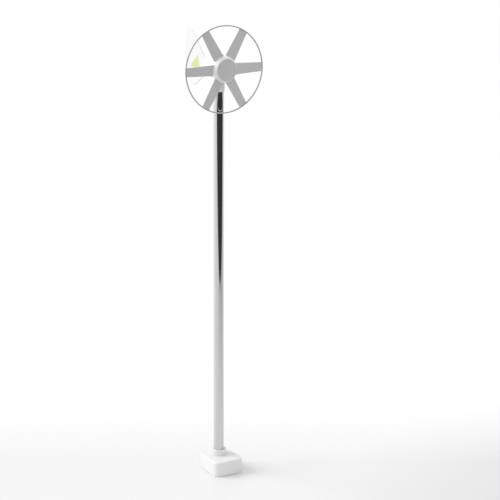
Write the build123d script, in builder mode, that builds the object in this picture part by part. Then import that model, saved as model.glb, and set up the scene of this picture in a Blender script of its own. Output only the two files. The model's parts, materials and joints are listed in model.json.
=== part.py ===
from build123d import *
import os
from math import cos, radians, sin

# A small ringed wind turbine on a free-standing pole. Everything is in millimetres.
# The pole stands on the Z axis, the floor is z = 0, and the rotor faces -Y.

# --- Driving dimensions -------------------------------------------------------------------
axis_height = 2425.0        # rotor axis above the floor
pole_diameter = 60.3        # two-inch tube
pole_wall = 2.0
ring_diameter = 500.0       # over the rim ring
ring_radial = 7.0           # thickness of the rim ring, seen from the front
ring_axial = 9.0            # depth of the rim ring along the shaft
ring_chamfer = 2.0
blade_count = 6
base_width = 190.0          # along X
base_length = 216.0         # along Y
base_height = 90.0
base_ahead = 28.0           # the base's middle is this far in front of the pole
running_gap = 0.3           # between faces of different moving bodies

# --- Base ---------------------------------------------------------------------------------
pad_thickness = 5.0
plate_thickness = 8.0
plate_top = pad_thickness + plate_thickness
cover_wall = 4.0
cover_corner = 32.0
cover_lift = 3.0            # the cover hangs this far above the floor
plate_inset = 6.0           # plate and pad stay this far inside the cover's outside
ballast_top = 78.0
floor_hole_radius = 4.25
floor_hole_x = 55.0         # half the hole-to-hole distance along X
floor_hole_y = 80.0
boss_x = 74.0
boss_y = 87.0
cable_height = 46.0

# --- Pole and its foot --------------------------------------------------------------------
pole_radius = pole_diameter / 2
pole_bore = pole_radius - pole_wall
socket_floor = 25.0
socket_radius = 36.0
socket_top = 116.0
collar_radius = 45.0
collar_top = base_height + 35.0
clamp_height = 104.0
pole_top = axis_height - 100.0

# --- Yaw bearing stack, heights above the floor -------------------------------------------
yaw_shaft_radius = 10.0
yaw_bearing_outer = 23.5
yaw_bearing_width = 14.0
yaw_lower_start = axis_height - 92.0
yaw_upper_start = axis_height - 40.0
yaw_tube_radius = 29.0
neck_bottom = axis_height - 131.0
neck_top = axis_height - 47.0
neck_radius = 34.0
neck_bore = 31.5

# --- Rotor and generator, distances along Y (negative is towards the wind) -----------------
nose_front = -93.0
ring_plane = -65.0
carrier_front = -84.0
carrier_back = -80.0
hub_back = -45.0
hub_radius = 75.0
hub_shoulder = -75.0        # where the hub's cone meets its straight side
nose_radius = 61.0
nose_thickness = 2.4
shaft_radius = 7.5
main_bearing_outer = 17.5
main_bearing_width = 11.0
main_front_start = -77.0
main_rear_start = -45.0
bearing_tube_radius = 22.0
stator_front = -73.0
stator_back = -49.0
stator_radius = 46.0
shoe_thickness = 2.5
tooth_count = 12
magnet_count = 16
magnet_inner = 47.0
magnet_outer = 51.5
flux_ring_outer = 55.5
drum_radius = 60.0
carrier_radius = 69.0

# --- Blades --------------------------------------------------------------------------------
root_chord = 64.0
tip_chord = 50.5
root_pitch = 9.0            # degrees away from the rotor plane
tip_pitch = 5.0
root_thickness = 8.0
tip_thickness = 5.8
ring_inner = ring_diameter / 2 - ring_radial
camber_share = 0.03
tang_start = drum_radius + 1.0
tang_half_width = 13.0
tang_low = -4.3             # the tang lies inside the blade's thickness, between these heights
tang_high = 0.9

# --- Nacelle and tail ----------------------------------------------------------------------
nacelle_radius = 60.0
nacelle_wall = 3.0
nacelle_front = -37.0
nacelle_shoulder = 60.0     # where the body starts to taper
nacelle_tail = 158.0
flange_front = -34.0
flange_back = -28.0
fin_thickness = 6.0
lug_thickness = 4.0
decal_thickness = 0.3

os.makedirs("parts", exist_ok=True)

pole_axis = Axis.Z
pole_plane = Plane.XZ       # local x is the distance from the pole axis, local y the height
rotor_axis = Axis((0, 0, axis_height), (0, 1, 0))
rotor_plane = Plane(origin=(0, 0, axis_height), x_dir=(1, 0, 0), z_dir=(0, 0, 1))
fin_plane = Plane(origin=(0, 0, axis_height), x_dir=(0, 1, 0), z_dir=(1, 0, 0))
from_start = (Align.CENTER, Align.CENTER, Align.MIN)


def save(builder, name):
    """Labels a finished sub-part and writes it to its own file."""
    builder.part.label = name
    export_step(builder.part, f"parts/{name}.step")


def turn(plane, axis, outline, mode=Mode.ADD):
    """Revolves a closed outline of (radius, distance along the axis) points."""
    with BuildSketch(plane) as profile:
        with BuildLine():
            Polyline(*outline, close=True)
        make_face()
    revolve(profile.sketch, axis=axis, mode=mode)


def tube(plane, axis, inner, outer, start, end, mode=Mode.ADD):
    """A plain ring or disc about an axis."""
    corners = [(inner, start), (outer, start), (outer, end), (inner, end)]
    turn(plane, axis, corners, mode)


def pole_tube_piece(inner, outer, start, end, mode=Mode.ADD):
    tube(pole_plane, pole_axis, inner, outer, start, end, mode)


def rotor_tube_piece(inner, outer, start, end, mode=Mode.ADD):
    tube(rotor_plane, rotor_axis, inner, outer, start, end, mode)


def block(x_range, y_range, z_range, mode=Mode.ADD):
    """A box between three pairs of limits."""
    low = Vector(x_range[0], y_range[0], z_range[0])
    high = Vector(x_range[1], y_range[1], z_range[1])
    size = high - low
    with Locations((low + high) / 2):
        Box(size.X, size.Y, size.Z, mode=mode)


def out_from_pole(angle, distance, height):
    """A plane facing away from the pole axis."""
    outward = Vector(cos(radians(angle)), sin(radians(angle)), 0)
    return Plane(origin=outward * distance + Vector(0, 0, height), z_dir=outward)


def out_from_shaft(angle, distance, along):
    """A plane facing away from the rotor axis."""
    outward = Vector(cos(radians(angle)), 0, sin(radians(angle)))
    return Plane(origin=outward * distance + Vector(0, along, axis_height), z_dir=outward)


def pins(planes, radius, length, mode=Mode.ADD):
    """Round pins, or holes, that stand on the given planes."""
    with Locations(*planes):
        Cylinder(radius, length, align=from_start, mode=mode)


def hex_heads(planes, across_flats, height):
    """Hexagonal bolt heads or nuts that stand on the given planes."""
    for plane in planes:
        with BuildSketch(plane) as outline:
            RegularPolygon(across_flats / 2, 6, major_radius=False)
        extrude(outline.sketch, amount=height)


# === Base ===================================================================================
plate_width = base_width - 2 * plate_inset
plate_length = base_length - 2 * plate_inset
plate_corner = cover_corner - plate_inset
base_middle = (0, -base_ahead)
base_back = base_length / 2 - base_ahead
floor_holes = [(x, y - base_ahead) for x in (-floor_hole_x, floor_hole_x) for y in (-floor_hole_y, floor_hole_y)]
bosses = [(x, y - base_ahead) for x in (-boss_x, boss_x) for y in (-boss_y, boss_y)]
socket_bolt_circle = 48.0
cover_screw_radius = 2.2
socket_bolt_radius = 4.0


def base_outline(start, width, length, corner):
    """A rounded rectangle around the base's middle, at a height."""
    with BuildSketch(Plane.XY.offset(start)) as outline:
        with Locations(base_middle):
            RectangleRounded(width, length, corner)
    return outline.sketch


def holes_at(points, radius, start, depth, mode=Mode.SUBTRACT):
    """Vertical holes, or posts, at points in plan."""
    with Locations(*[(x, y, start) for x, y in points]):
        Cylinder(radius, depth, align=from_start, mode=mode)


with BuildPart() as foot_pad:
    extrude(base_outline(0, plate_width, plate_length, plate_corner), pad_thickness)
    holes_at(floor_holes, floor_hole_radius, 0, pad_thickness)
    holes_at(bosses, cover_screw_radius + 3, 0, pad_thickness)
save(foot_pad, "foot_pad")

with BuildPart() as base_plate:
    extrude(base_outline(pad_thickness, plate_width, plate_length, plate_corner), plate_thickness)
    holes_at(floor_holes, floor_hole_radius, pad_thickness, plate_thickness)
    holes_at(bosses, cover_screw_radius, pad_thickness, plate_thickness)
    with PolarLocations(socket_bolt_circle, 4, start_angle=45):
        with Locations((0, 0, pad_thickness)):
            Cylinder(socket_bolt_radius, plate_thickness, align=from_start, mode=Mode.SUBTRACT)
save(base_plate, "base_plate")

with BuildPart() as ballast_block:
    extrude(base_outline(plate_top, plate_width - 8, plate_length - 8, plate_corner - 4), ballast_top - plate_top)
    chamfer(ballast_block.edges().group_by(Axis.Z)[-1], 3)
    holes_at(bosses, 8, plate_top, ballast_top - plate_top)
    holes_at(floor_holes, 9, plate_top, 27)
    pole_tube_piece(0, 62, plate_top, 32, Mode.SUBTRACT)
    pole_tube_piece(0, socket_radius + 1, 32, ballast_top, Mode.SUBTRACT)
    block((-9, 9), (0, base_back), (cable_height - 9, cable_height + 9), Mode.SUBTRACT)
save(ballast_block, "ballast_block")

with BuildPart() as base_cover:
    extrude(base_outline(cover_lift, base_width, base_length, cover_corner), base_height - cover_lift)
    fillet(base_cover.edges().group_by(Axis.Z)[-1], 8)
    cover_inside = base_outline(cover_lift, base_width - 2 * cover_wall, base_length - 2 * cover_wall,
                                cover_corner - cover_wall)
    extrude(cover_inside, base_height - cover_lift - cover_wall, mode=Mode.SUBTRACT)
    holes_at(bosses, 6.5, plate_top, base_height - cover_wall - plate_top + 1, Mode.ADD)
    holes_at(bosses, cover_screw_radius, plate_top, 20)
    pole_tube_piece(0, socket_radius + 0.2, base_height - 10, base_height, Mode.SUBTRACT)
    pins([out_from_pole(90, base_back - 10, cable_height)], 8, 12, Mode.SUBTRACT)
save(base_cover, "base_cover")

with BuildPart() as cover_screws:
    holes_at(bosses, cover_screw_radius, pad_thickness, 24, Mode.ADD)
    holes_at(bosses, 4.5, pad_thickness - 3, 3, Mode.ADD)
save(cover_screws, "cover_screws")

socket_flange_top = plate_top + 8
clamp_angles = (30, 150, 270)

with BuildPart() as pole_socket:
    pole_tube_piece(0, 60, plate_top, socket_flange_top)
    pole_tube_piece(0, socket_radius, socket_flange_top, socket_floor)
    pole_tube_piece(pole_radius + 0.05, socket_radius, socket_floor, socket_top)
    with PolarLocations(socket_bolt_circle, 4, start_angle=45):
        with Locations((0, 0, plate_top)):
            Cylinder(socket_bolt_radius, 8, align=from_start, mode=Mode.SUBTRACT)
    clamp_planes = [out_from_pole(angle, 28, clamp_height) for angle in clamp_angles]
    pins(clamp_planes, 3, 20, Mode.SUBTRACT)
    pins([out_from_pole(90, 20, cable_height)], 6.5, 30, Mode.SUBTRACT)
save(pole_socket, "pole_socket")

with BuildPart() as socket_bolts:
    with PolarLocations(socket_bolt_circle, 4, start_angle=45):
        with Locations((0, 0, pad_thickness)):
            Cylinder(socket_bolt_radius, socket_flange_top - pad_thickness, align=from_start)
    bolt_spots = PolarLocations(socket_bolt_circle, 4, start_angle=45).local_locations
    head_planes = [Plane(origin=spot.position + Vector(0, 0, socket_flange_top)) for spot in bolt_spots]
    hex_heads(head_planes, 13, 5.5)
save(socket_bolts, "socket_bolts")

with BuildPart() as foot_collar:
    pole_tube_piece(socket_radius + 0.2, collar_radius, base_height, socket_top)
    pole_tube_piece(pole_radius + 0.1, collar_radius, socket_top, collar_top)
    fillet(foot_collar.edges().filter_by(GeomType.CIRCLE).group_by(Axis.Z)[-1].sort_by(SortBy.RADIUS)[-1], 2)
    pins(clamp_planes, 3, 30, Mode.SUBTRACT)
save(foot_collar, "foot_collar")

with BuildPart() as pole_clamp_screws:
    screw_planes = [out_from_pole(angle, pole_radius, clamp_height) for angle in clamp_angles]
    pins(screw_planes, 3, collar_radius - pole_radius - 1)
    socket_planes = [out_from_pole(angle, collar_radius - 4, clamp_height) for angle in clamp_angles]
    for plane in socket_planes:
        with BuildSketch(plane) as drive:
            RegularPolygon(1.5, 6, major_radius=False)
        extrude(drive.sketch, amount=4, mode=Mode.SUBTRACT)
save(pole_clamp_screws, "pole_clamp_screws")

gland_face = out_from_pole(90, base_back, cable_height)
gland_bore = 4.5

with BuildPart() as cable_gland:
    pins([out_from_pole(90, base_back - 10, cable_height)], 8, 10)
    hex_heads([gland_face], 22, 6)
    pins([gland_face.offset(6)], 9.5, 12)
    fillet(cable_gland.edges().group_by(Axis.Y)[-1], 3)
    pins([out_from_pole(90, base_back - 20, cable_height)], gland_bore, 50, Mode.SUBTRACT)
save(cable_gland, "cable_gland")

with BuildPart() as gland_nut:
    hex_heads([out_from_pole(90, base_back - cover_wall - 5, cable_height)], 21, 5)
    pins([out_from_pole(90, base_back - 20, cable_height)], 8, 20, Mode.SUBTRACT)
save(gland_nut, "gland_nut")

# === Pole and yaw spigot ====================================================================
spigot_screw_height = pole_top - 25
spigot_planes = [out_from_pole(angle, 20, spigot_screw_height) for angle in clamp_angles]

with BuildPart() as pole:
    pole_tube_piece(pole_bore, pole_radius, socket_floor, pole_top)
    pins([out_from_pole(90, 20, cable_height)], 6.5, 30, Mode.SUBTRACT)
    pins(spigot_planes, 3, 20, Mode.SUBTRACT)
save(pole, "pole")

slip_drum_start = axis_height - 16
slip_drum_end = axis_height + 24
thread_end = axis_height - 17

with BuildPart() as yaw_spigot:
    spigot_outline = [
        (5, pole_top - 80), (pole_bore - 0.05, pole_top - 80), (pole_bore - 0.05, pole_top),
        (pole_radius, pole_top), (pole_radius, pole_top + 5), (12.5, pole_top + 5),
        (12.5, yaw_lower_start), (yaw_shaft_radius, yaw_lower_start),
        (yaw_shaft_radius, yaw_upper_start + yaw_bearing_width),
        (9, yaw_upper_start + yaw_bearing_width), (9, thread_end), (6, thread_end),
        (6, slip_drum_end), (5, slip_drum_end),
    ]
    turn(pole_plane, pole_axis, spigot_outline)
    pins(spigot_planes, 3, 20, Mode.SUBTRACT)
save(yaw_spigot, "yaw_spigot")

with BuildPart() as spigot_screws:
    pins(spigot_planes, 3, pole_radius - 20 - 0.5)
save(spigot_screws, "spigot_screws")


# === Ball bearings ==========================================================================
def race(plane, axis, inner, outer, start, width, pitch, groove_radius):
    """A bearing race: a plain ring with a groove for the balls."""
    tube(plane, axis, inner, outer, start, start + width)
    with BuildSketch(plane) as groove:
        with Locations((pitch, start + width / 2)):
            Circle(groove_radius)
    revolve(groove.sketch, axis=axis, mode=Mode.SUBTRACT)


def bearing_pair(name, plane, axis, outward, bore, outer, width, starts, ball, ball_count):
    """Two equal ball bearings on one shaft: inner races, outer races, and balls with their cages."""
    pitch = (bore + outer) / 2
    shoulder = ball * 0.45
    groove = ball + 0.04
    cage = ball * 0.22
    with BuildPart() as inner_races:
        for start in starts:
            race(plane, axis, bore, pitch - shoulder, start, width, pitch, groove)
    save(inner_races, f"{name}_inner_races")
    with BuildPart() as outer_races:
        for start in starts:
            race(plane, axis, pitch + shoulder, outer, start, width, pitch, groove)
    save(outer_races, f"{name}_outer_races")
    middles = [start + width / 2 for start in starts]
    ball_spots = [outward(360 / ball_count * n, pitch, middle) for middle in middles for n in range(ball_count)]
    with BuildPart() as ball_sets:
        for middle in middles:
            tube(plane, axis, pitch - cage, pitch + cage, middle - 1.35 * ball, middle + 1.35 * ball)
        with Locations(*ball_spots):
            Cylinder(ball + 0.15, 4 * cage, mode=Mode.SUBTRACT)
        with Locations(*ball_spots):
            Sphere(ball)
    save(ball_sets, f"{name}_ball_sets")


bearing_pair("yaw_bearing", pole_plane, pole_axis, out_from_pole, yaw_shaft_radius, yaw_bearing_outer,
             yaw_bearing_width, (yaw_lower_start, yaw_upper_start), 3.95, 8)
bearing_pair("main_bearing", rotor_plane, rotor_axis, out_from_shaft, shaft_radius, main_bearing_outer,
             main_bearing_width, (main_front_start, main_rear_start), 3.0, 9)

with BuildPart() as yaw_spacer:
    pole_tube_piece(yaw_shaft_radius, 12.5, yaw_lower_start + yaw_bearing_width, yaw_upper_start)
save(yaw_spacer, "yaw_spacer")

with BuildPart() as yaw_shaft_nut:
    nut_start = yaw_upper_start + yaw_bearing_width
    hex_heads([Plane.XY.offset(nut_start)], 24, 8)
    pole_tube_piece(0, 9, nut_start, nut_start + 8, Mode.SUBTRACT)
    chamfer(yaw_shaft_nut.edges().group_by(Axis.Z)[-1].filter_by(GeomType.LINE), 0.8)
save(yaw_shaft_nut, "yaw_shaft_nut")

slip_ring_radius = 11.5
slip_ring_heights = [axis_height + offset for offset in (-8, 4, 16)]

with BuildPart() as slip_ring_drum:
    pole_tube_piece(6, slip_ring_radius, slip_drum_start, slip_drum_end)
    for height in slip_ring_heights:
        pole_tube_piece(9.5, 12, height - 2.5, height + 2.5, Mode.SUBTRACT)
save(slip_ring_drum, "slip_ring_drum")

with BuildPart() as slip_rings:
    for height in slip_ring_heights:
        pole_tube_piece(9.5, slip_ring_radius, height - 2.5, height + 2.5)
save(slip_rings, "slip_rings")

# === Head: the casting that yaws ============================================================
flange_radius = nacelle_radius - nacelle_wall - 0.1
cheek_inner = 22.0
cheek_outer = 28.0
casting_top = axis_height + 34
lug_start = 42.0
lug_end = 112.0
lug_inner = fin_thickness / 2 + 0.05
neck_screw_height = axis_height - 66
neck_screw_angles = (90, 210, 330)
neck_screw_planes = [out_from_pole(angle, 22, neck_screw_height) for angle in neck_screw_angles]
shell_screw_angles = (30, 90, 150, 210, 330)
shell_screw_along = (flange_front + flange_back) / 2
shell_screw_planes = [out_from_shaft(angle, 46, shell_screw_along) for angle in shell_screw_angles]
fin_bolt_spots = [(62, 0), (100, 14), (100, -14)]


def fin_bolt_holes(radius, mode=Mode.SUBTRACT):
    """The three bolts that clamp the fin run across the nacelle."""
    reach = lug_inner + lug_thickness
    for along, height in fin_bolt_spots:
        spot = Plane(origin=(-reach, along, axis_height + height), z_dir=(1, 0, 0))
        pins([spot], radius, 2 * reach, mode)


with BuildPart() as head_casting:
    yaw_lower_end = yaw_lower_start + yaw_bearing_width
    yaw_upper_end = yaw_upper_start + yaw_bearing_width
    pole_tube_piece(0, yaw_tube_radius, yaw_lower_start - 1, yaw_upper_end + 2)
    for side in (-1, 1):
        inner, outer = sorted((side * cheek_inner, side * cheek_outer))
        block((inner, outer), (flange_back - 1, lug_start), (axis_height - 46, casting_top))
        inner, outer = sorted((side * lug_inner, side * (lug_inner + lug_thickness)))
        block((inner, outer), (lug_start - 6, lug_end), (axis_height - 24, axis_height + 24))
    block((-cheek_outer, cheek_outer), (lug_start - 6, lug_start), (axis_height - 46, casting_top))
    block((-cheek_outer, cheek_outer), (flange_back - 1, 0), (axis_height - 46, axis_height - 30))
    rotor_tube_piece(0, flange_radius, flange_front, flange_back)
    rotor_tube_piece(0, bearing_tube_radius, main_front_start - 0.5, flange_front)
    rotor_tube_piece(0, main_bearing_outer, main_front_start - 1, main_front_start + main_bearing_width,
                     Mode.SUBTRACT)
    rotor_tube_piece(0, 14, main_front_start, main_rear_start, Mode.SUBTRACT)
    rotor_tube_piece(0, main_bearing_outer, main_rear_start, flange_front, Mode.SUBTRACT)
    rotor_tube_piece(0, 10, flange_front - 1, flange_back + 1, Mode.SUBTRACT)
    pole_tube_piece(neck_bore, neck_radius + 0.2, axis_height - 60, neck_top + 0.2, Mode.SUBTRACT)
    pole_tube_piece(0, yaw_bearing_outer, yaw_lower_start - 2, yaw_lower_end, Mode.SUBTRACT)
    pole_tube_piece(0, 18, yaw_lower_start, yaw_upper_end + 10, Mode.SUBTRACT)
    pole_tube_piece(0, yaw_bearing_outer, yaw_upper_start, yaw_upper_end + 3, Mode.SUBTRACT)
    pins(neck_screw_planes, 2, 10, Mode.SUBTRACT)
    pins(shell_screw_planes, 1.6, 20, Mode.SUBTRACT)
    fin_bolt_holes(3)
save(head_casting, "head_casting")

with BuildPart() as brush_holder:
    block((-14, 14), (16, lug_start - 6), (slip_drum_start + 2, slip_drum_end - 2))
    for height in slip_ring_heights:
        block((-3, 3), (10, 26), (height - 2, height + 2), Mode.SUBTRACT)
    fillet(brush_holder.edges().filter_by(Axis.Y).group_by(Axis.Z)[-1], 2)
save(brush_holder, "brush_holder")

with BuildPart() as brushes:
    for height in slip_ring_heights:
        block((-3, 3), (slip_ring_radius + 0.1, 26), (height - 2, height + 2))
save(brushes, "brushes")

with BuildPart() as rectifier_board:
    block((-26, 26), (-22, 34), (casting_top, casting_top + 1.6))
    block((-12, 12), (-16, 8), (casting_top + 1.6, casting_top + 9))
    with Locations(*[(x, 22, casting_top + 1.6) for x in (-14, 0, 14)]):
        Cylinder(5, 11, align=from_start)
save(rectifier_board, "rectifier_board")

# === Generator ==============================================================================
tooth_angle = 360 / tooth_count

with BuildPart() as stator_core:
    rotor_tube_piece(bearing_tube_radius, 30, stator_front, stator_back)
    for n in range(tooth_count):
        with Locations(out_from_shaft(tooth_angle * n, 29, (stator_front + stator_back) / 2)):
            Box(7, stator_back - stator_front, stator_radius - shoe_thickness - 29, align=from_start)
    with BuildPart(mode=Mode.PRIVATE) as shoes:
        rotor_tube_piece(stator_radius - shoe_thickness, stator_radius, stator_front, stator_back)
        for n in range(tooth_count):
            with Locations(out_from_shaft(tooth_angle * (n + 0.5), 39, (stator_front + stator_back) / 2)):
                Box(4, stator_back - stator_front + 2, 10, align=from_start, mode=Mode.SUBTRACT)
    add(shoes.part)
save(stator_core, "stator_core")

with BuildPart() as stator_coils:
    core_length = stator_back - stator_front
    for n in range(tooth_count):
        plane = out_from_shaft(tooth_angle * n, 31.5, (stator_front + stator_back) / 2)
        with BuildSketch(plane) as winding:
            RectangleRounded(14, core_length + 7, 3.2)
            Rectangle(7, core_length, mode=Mode.SUBTRACT)
        extrude(winding.sketch, amount=11)
save(stator_coils, "stator_coils")

with BuildPart() as flux_ring:
    rotor_tube_piece(magnet_outer, flux_ring_outer, carrier_back + 3, hub_back - 1)
save(flux_ring, "flux_ring")

with BuildPart() as magnets:
    rotor_tube_piece(magnet_inner, magnet_outer, stator_front - 1, stator_back + 1)
    for n in range(magnet_count):
        with Locations(out_from_shaft(360 / magnet_count * n, magnet_inner - 4, ring_plane)):
            Box(4, 60, 12, align=from_start, mode=Mode.SUBTRACT)
save(magnets, "magnets")

with BuildPart() as main_shaft:
    nut_end = nose_front + 3
    shaft_outline = [
        (0, nut_end), (6, nut_end), (6, carrier_front), (shaft_radius, carrier_front),
        (shaft_radius, carrier_back), (9.5, carrier_back), (9.5, main_front_start),
        (shaft_radius, main_front_start), (shaft_radius, flange_back - 2), (0, flange_back - 2),
    ]
    turn(rotor_plane, rotor_axis, shaft_outline)
save(main_shaft, "main_shaft")

with BuildPart() as shaft_nut:
    hex_heads([Plane(origin=(0, carrier_front, axis_height), z_dir=(0, -1, 0))], 19, 5)
    rotor_tube_piece(0, 6, carrier_front - 6, carrier_front, Mode.SUBTRACT)
save(shaft_nut, "shaft_nut")

with BuildPart() as shaft_spacer:
    rotor_tube_piece(shaft_radius, 9.5, main_front_start + main_bearing_width, main_rear_start)
save(shaft_spacer, "shaft_spacer")


# === Rotor ==================================================================================
def pitch_plane(distance, pitch):
    """The plane of a blade section: local x runs along the chord, local y towards the wind."""
    chord_line = Vector(0, sin(radians(pitch)), cos(radians(pitch)))
    return Plane(origin=(distance, ring_plane, axis_height), x_dir=chord_line, z_dir=(1, 0, 0))


def tang_prism(start, end, margin, mode):
    """The flat tang at a blade's root, or the slot for it, on the first blade's centreline."""
    middle = (tang_low + tang_high) / 2
    width = 2 * (tang_half_width + margin)
    thickness = tang_high - tang_low + 2 * margin
    with BuildSketch(pitch_plane(start, root_pitch)) as outline:
        with Locations((0, middle)):
            Rectangle(width, thickness)
    extrude(outline.sketch, amount=end - start, mode=mode)


def tang_slots(start, end, margin):
    """The same slot, cut for every blade."""
    with BuildPart(mode=Mode.PRIVATE) as slot:
        tang_prism(start, end, margin, Mode.ADD)
    for n in range(blade_count):
        add(slot.part.rotate(rotor_axis, 360 / blade_count * n), mode=Mode.SUBTRACT)


def airfoil(distance, chord, pitch, thickness):
    """A cambered blade section, hollow towards the wind, with a round nose and a thin tail."""
    camber = camber_share * chord
    front = thickness / 2 - camber
    back = thickness / 2 + camber
    nose = (-0.5 * chord, 0)
    tail_front = (0.5 * chord, 0.6)
    tail_back = (0.5 * chord, -0.6)
    with BuildSketch(pitch_plane(distance, pitch)) as section:
        with BuildLine():
            Spline(nose, (-0.2 * chord, front), (0.15 * chord, 0.8 * front), tail_front,
                   tangents=((0, 1), (1, -0.1)))
            Line(tail_front, tail_back)
            Spline(tail_back, (0.15 * chord, -0.8 * back), (-0.2 * chord, -back), nose,
                   tangents=((-1, -0.16), (0, 1)))
        make_face()
    return section.sketch


blade_stations = [62.0, 110.0, 155.0, 205.0, ring_diameter / 2]
blade_screw_spots = [-8.0, 8.0]
rim_screw_spots = [-7.0, 7.0]
blade_screw_distance = 65.0
carrier_ring_front = -76.0
carrier_ring_back = -54.0


def blade_screw_planes():
    """Screws that enter the tangs from behind, two to a blade."""
    planes = []
    for n in range(blade_count):
        angle = radians(360 / blade_count * n)
        outward = Vector(cos(angle), 0, sin(angle))
        sideways = Vector(-sin(angle), 0, cos(angle))
        for across in blade_screw_spots:
            spot = outward * blade_screw_distance + sideways * across
            planes.append(Plane(origin=spot + Vector(0, carrier_ring_back, axis_height), z_dir=(0, -1, 0)))
    return planes


def rim_screw_planes(distance):
    """Screws that enter the blade tips through the rim ring, two to a blade."""
    planes = []
    for across in rim_screw_spots:
        inside_tip = Vector(across, -camber_share * tip_chord, 0)
        spot = pitch_plane(distance, tip_pitch).from_local_coords(inside_tip)
        planes.append(Plane(origin=spot, z_dir=(1, 0, 0)))
    return planes


with BuildPart() as first_blade:
    sections = []
    for station in blade_stations:
        share = (station - hub_radius) / (ring_inner - hub_radius)
        chord = root_chord + share * (tip_chord - root_chord)
        pitch = root_pitch + share * (tip_pitch - root_pitch)
        thickness = root_thickness + share * (tip_thickness - root_thickness)
        sections.append(airfoil(station, chord, pitch, thickness))
    loft(sections)
    rotor_tube_piece(0, hub_radius + 0.2, -120, -10, Mode.SUBTRACT)
    rotor_tube_piece(ring_inner - 0.05, ring_inner + 40, -120, -10, Mode.SUBTRACT)
    tang_prism(tang_start, hub_radius + 4, 0, Mode.ADD)
    pins(blade_screw_planes()[:2], 1.6, 20, Mode.SUBTRACT)
    pins(rim_screw_planes(ring_inner - 13), 1.5, 20, Mode.SUBTRACT)

for n in range(blade_count):
    with BuildPart() as blade:
        add(first_blade.part.rotate(rotor_axis, 360 / blade_count * n))
    save(blade, f"blade_{n + 1}")

with BuildPart() as rim_screws:
    with BuildPart(mode=Mode.PRIVATE) as one_pair:
        pins(rim_screw_planes(ring_inner - 13), 1.5, 13 + ring_radial - 1.2)
        pins(rim_screw_planes(ring_inner + ring_radial - 2.7), 2.6, 1.5)
    for n in range(blade_count):
        add(one_pair.part.rotate(rotor_axis, 360 / blade_count * n))
save(rim_screws, "rim_screws")

with BuildPart() as rim_ring:
    with BuildSketch(rotor_plane) as rim_section:
        with Locations((ring_inner + ring_radial / 2, ring_plane)):
            Rectangle(ring_radial, ring_axial)
        chamfer(rim_section.vertices(), ring_chamfer)
    revolve(rim_section.sketch, axis=rotor_axis)
    for n in range(blade_count):
        add(one_pair.part.rotate(rotor_axis, 360 / blade_count * n), mode=Mode.SUBTRACT)
save(rim_ring, "rim_ring")

shell_screw_spots = 6
web_inner = 40.0

with BuildPart() as hub_carrier:
    rotor_tube_piece(shaft_radius, drum_radius, carrier_front, carrier_back)
    rotor_tube_piece(flux_ring_outer, drum_radius, carrier_front, hub_back - 1)
    rotor_tube_piece(drum_radius, carrier_radius, carrier_ring_front, carrier_ring_back)
    tang_slots(tang_start, carrier_radius + 1, 0)
    pins(blade_screw_planes(), 1.6, 18, Mode.SUBTRACT)
    with Locations(Plane(origin=(0, carrier_back, axis_height), z_dir=(0, -1, 0))):
        with PolarLocations(52, shell_screw_spots, start_angle=30):
            Cylinder(2, 6, align=from_start, mode=Mode.SUBTRACT)
        with PolarLocations(26, 6):
            Cylinder(6, 6, align=from_start, mode=Mode.SUBTRACT)
save(hub_carrier, "hub_carrier")

with BuildPart() as blade_screws:
    pins(blade_screw_planes(), 1.6, 17)
    backs = [plane.offset(-2) for plane in blade_screw_planes()]
    pins(backs, 3, 2)
save(blade_screws, "blade_screws")

with BuildPart() as hub_shell:
    with BuildSketch(rotor_plane) as shell_profile:
        with BuildLine():
            Line((0, nose_front), (nose_radius + 0.8, nose_front))
            FilletPolyline((nose_radius + 0.8, nose_front), (nose_radius + 2.2, nose_front),
                           (hub_radius, hub_shoulder), (hub_radius, hub_back), radius=(1, 10))
            Polyline((hub_radius, hub_back), (0, hub_back), (0, nose_front))
        make_face()
    revolve(shell_profile.sketch, axis=rotor_axis)
    hollow = [(0, -82), (carrier_radius - 2.5, -82), (carrier_radius + 1.8, -74), (hub_radius - 2.6, -69),
              (hub_radius - 2.6, hub_back + 1), (0, hub_back + 1)]
    turn(rotor_plane, rotor_axis, hollow, Mode.SUBTRACT)
    rotor_tube_piece(0, nose_radius + 0.1, nose_front - 1, nose_front + nose_thickness, Mode.SUBTRACT)
    rotor_tube_piece(0, nose_radius - 3, nose_front, carrier_front - 4, Mode.SUBTRACT)
    rotor_tube_piece(0, web_inner, nose_front - 1, carrier_front + 4, Mode.SUBTRACT)
    rotor_tube_piece(0, drum_radius + 0.1, carrier_front, carrier_back, Mode.SUBTRACT)
    tang_slots(carrier_radius - 3, hub_radius + 6, running_gap)
    with Locations(Plane(origin=(0, carrier_front, axis_height), z_dir=(0, -1, 0))):
        with PolarLocations(52, shell_screw_spots, start_angle=30):
            Cylinder(2, 6, align=from_start, mode=Mode.SUBTRACT)
save(hub_shell, "hub_shell")

with BuildPart() as hub_screws:
    with Locations(Plane(origin=(0, carrier_back, axis_height), z_dir=(0, -1, 0))):
        with PolarLocations(52, shell_screw_spots, start_angle=30):
            Cylinder(2, carrier_back - carrier_front + 4, align=from_start)
    with Locations(Plane(origin=(0, carrier_front - 4, axis_height), z_dir=(0, -1, 0))):
        with PolarLocations(52, shell_screw_spots, start_angle=30):
            Cylinder(3.6, 2, align=from_start)
save(hub_screws, "hub_screws")

with BuildPart() as nose_disc:
    rotor_tube_piece(0, nose_radius, nose_front, nose_front + nose_thickness)
    fillet(nose_disc.edges().group_by(Axis.Y)[0], 0.9)
save(nose_disc, "nose_disc")


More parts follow.
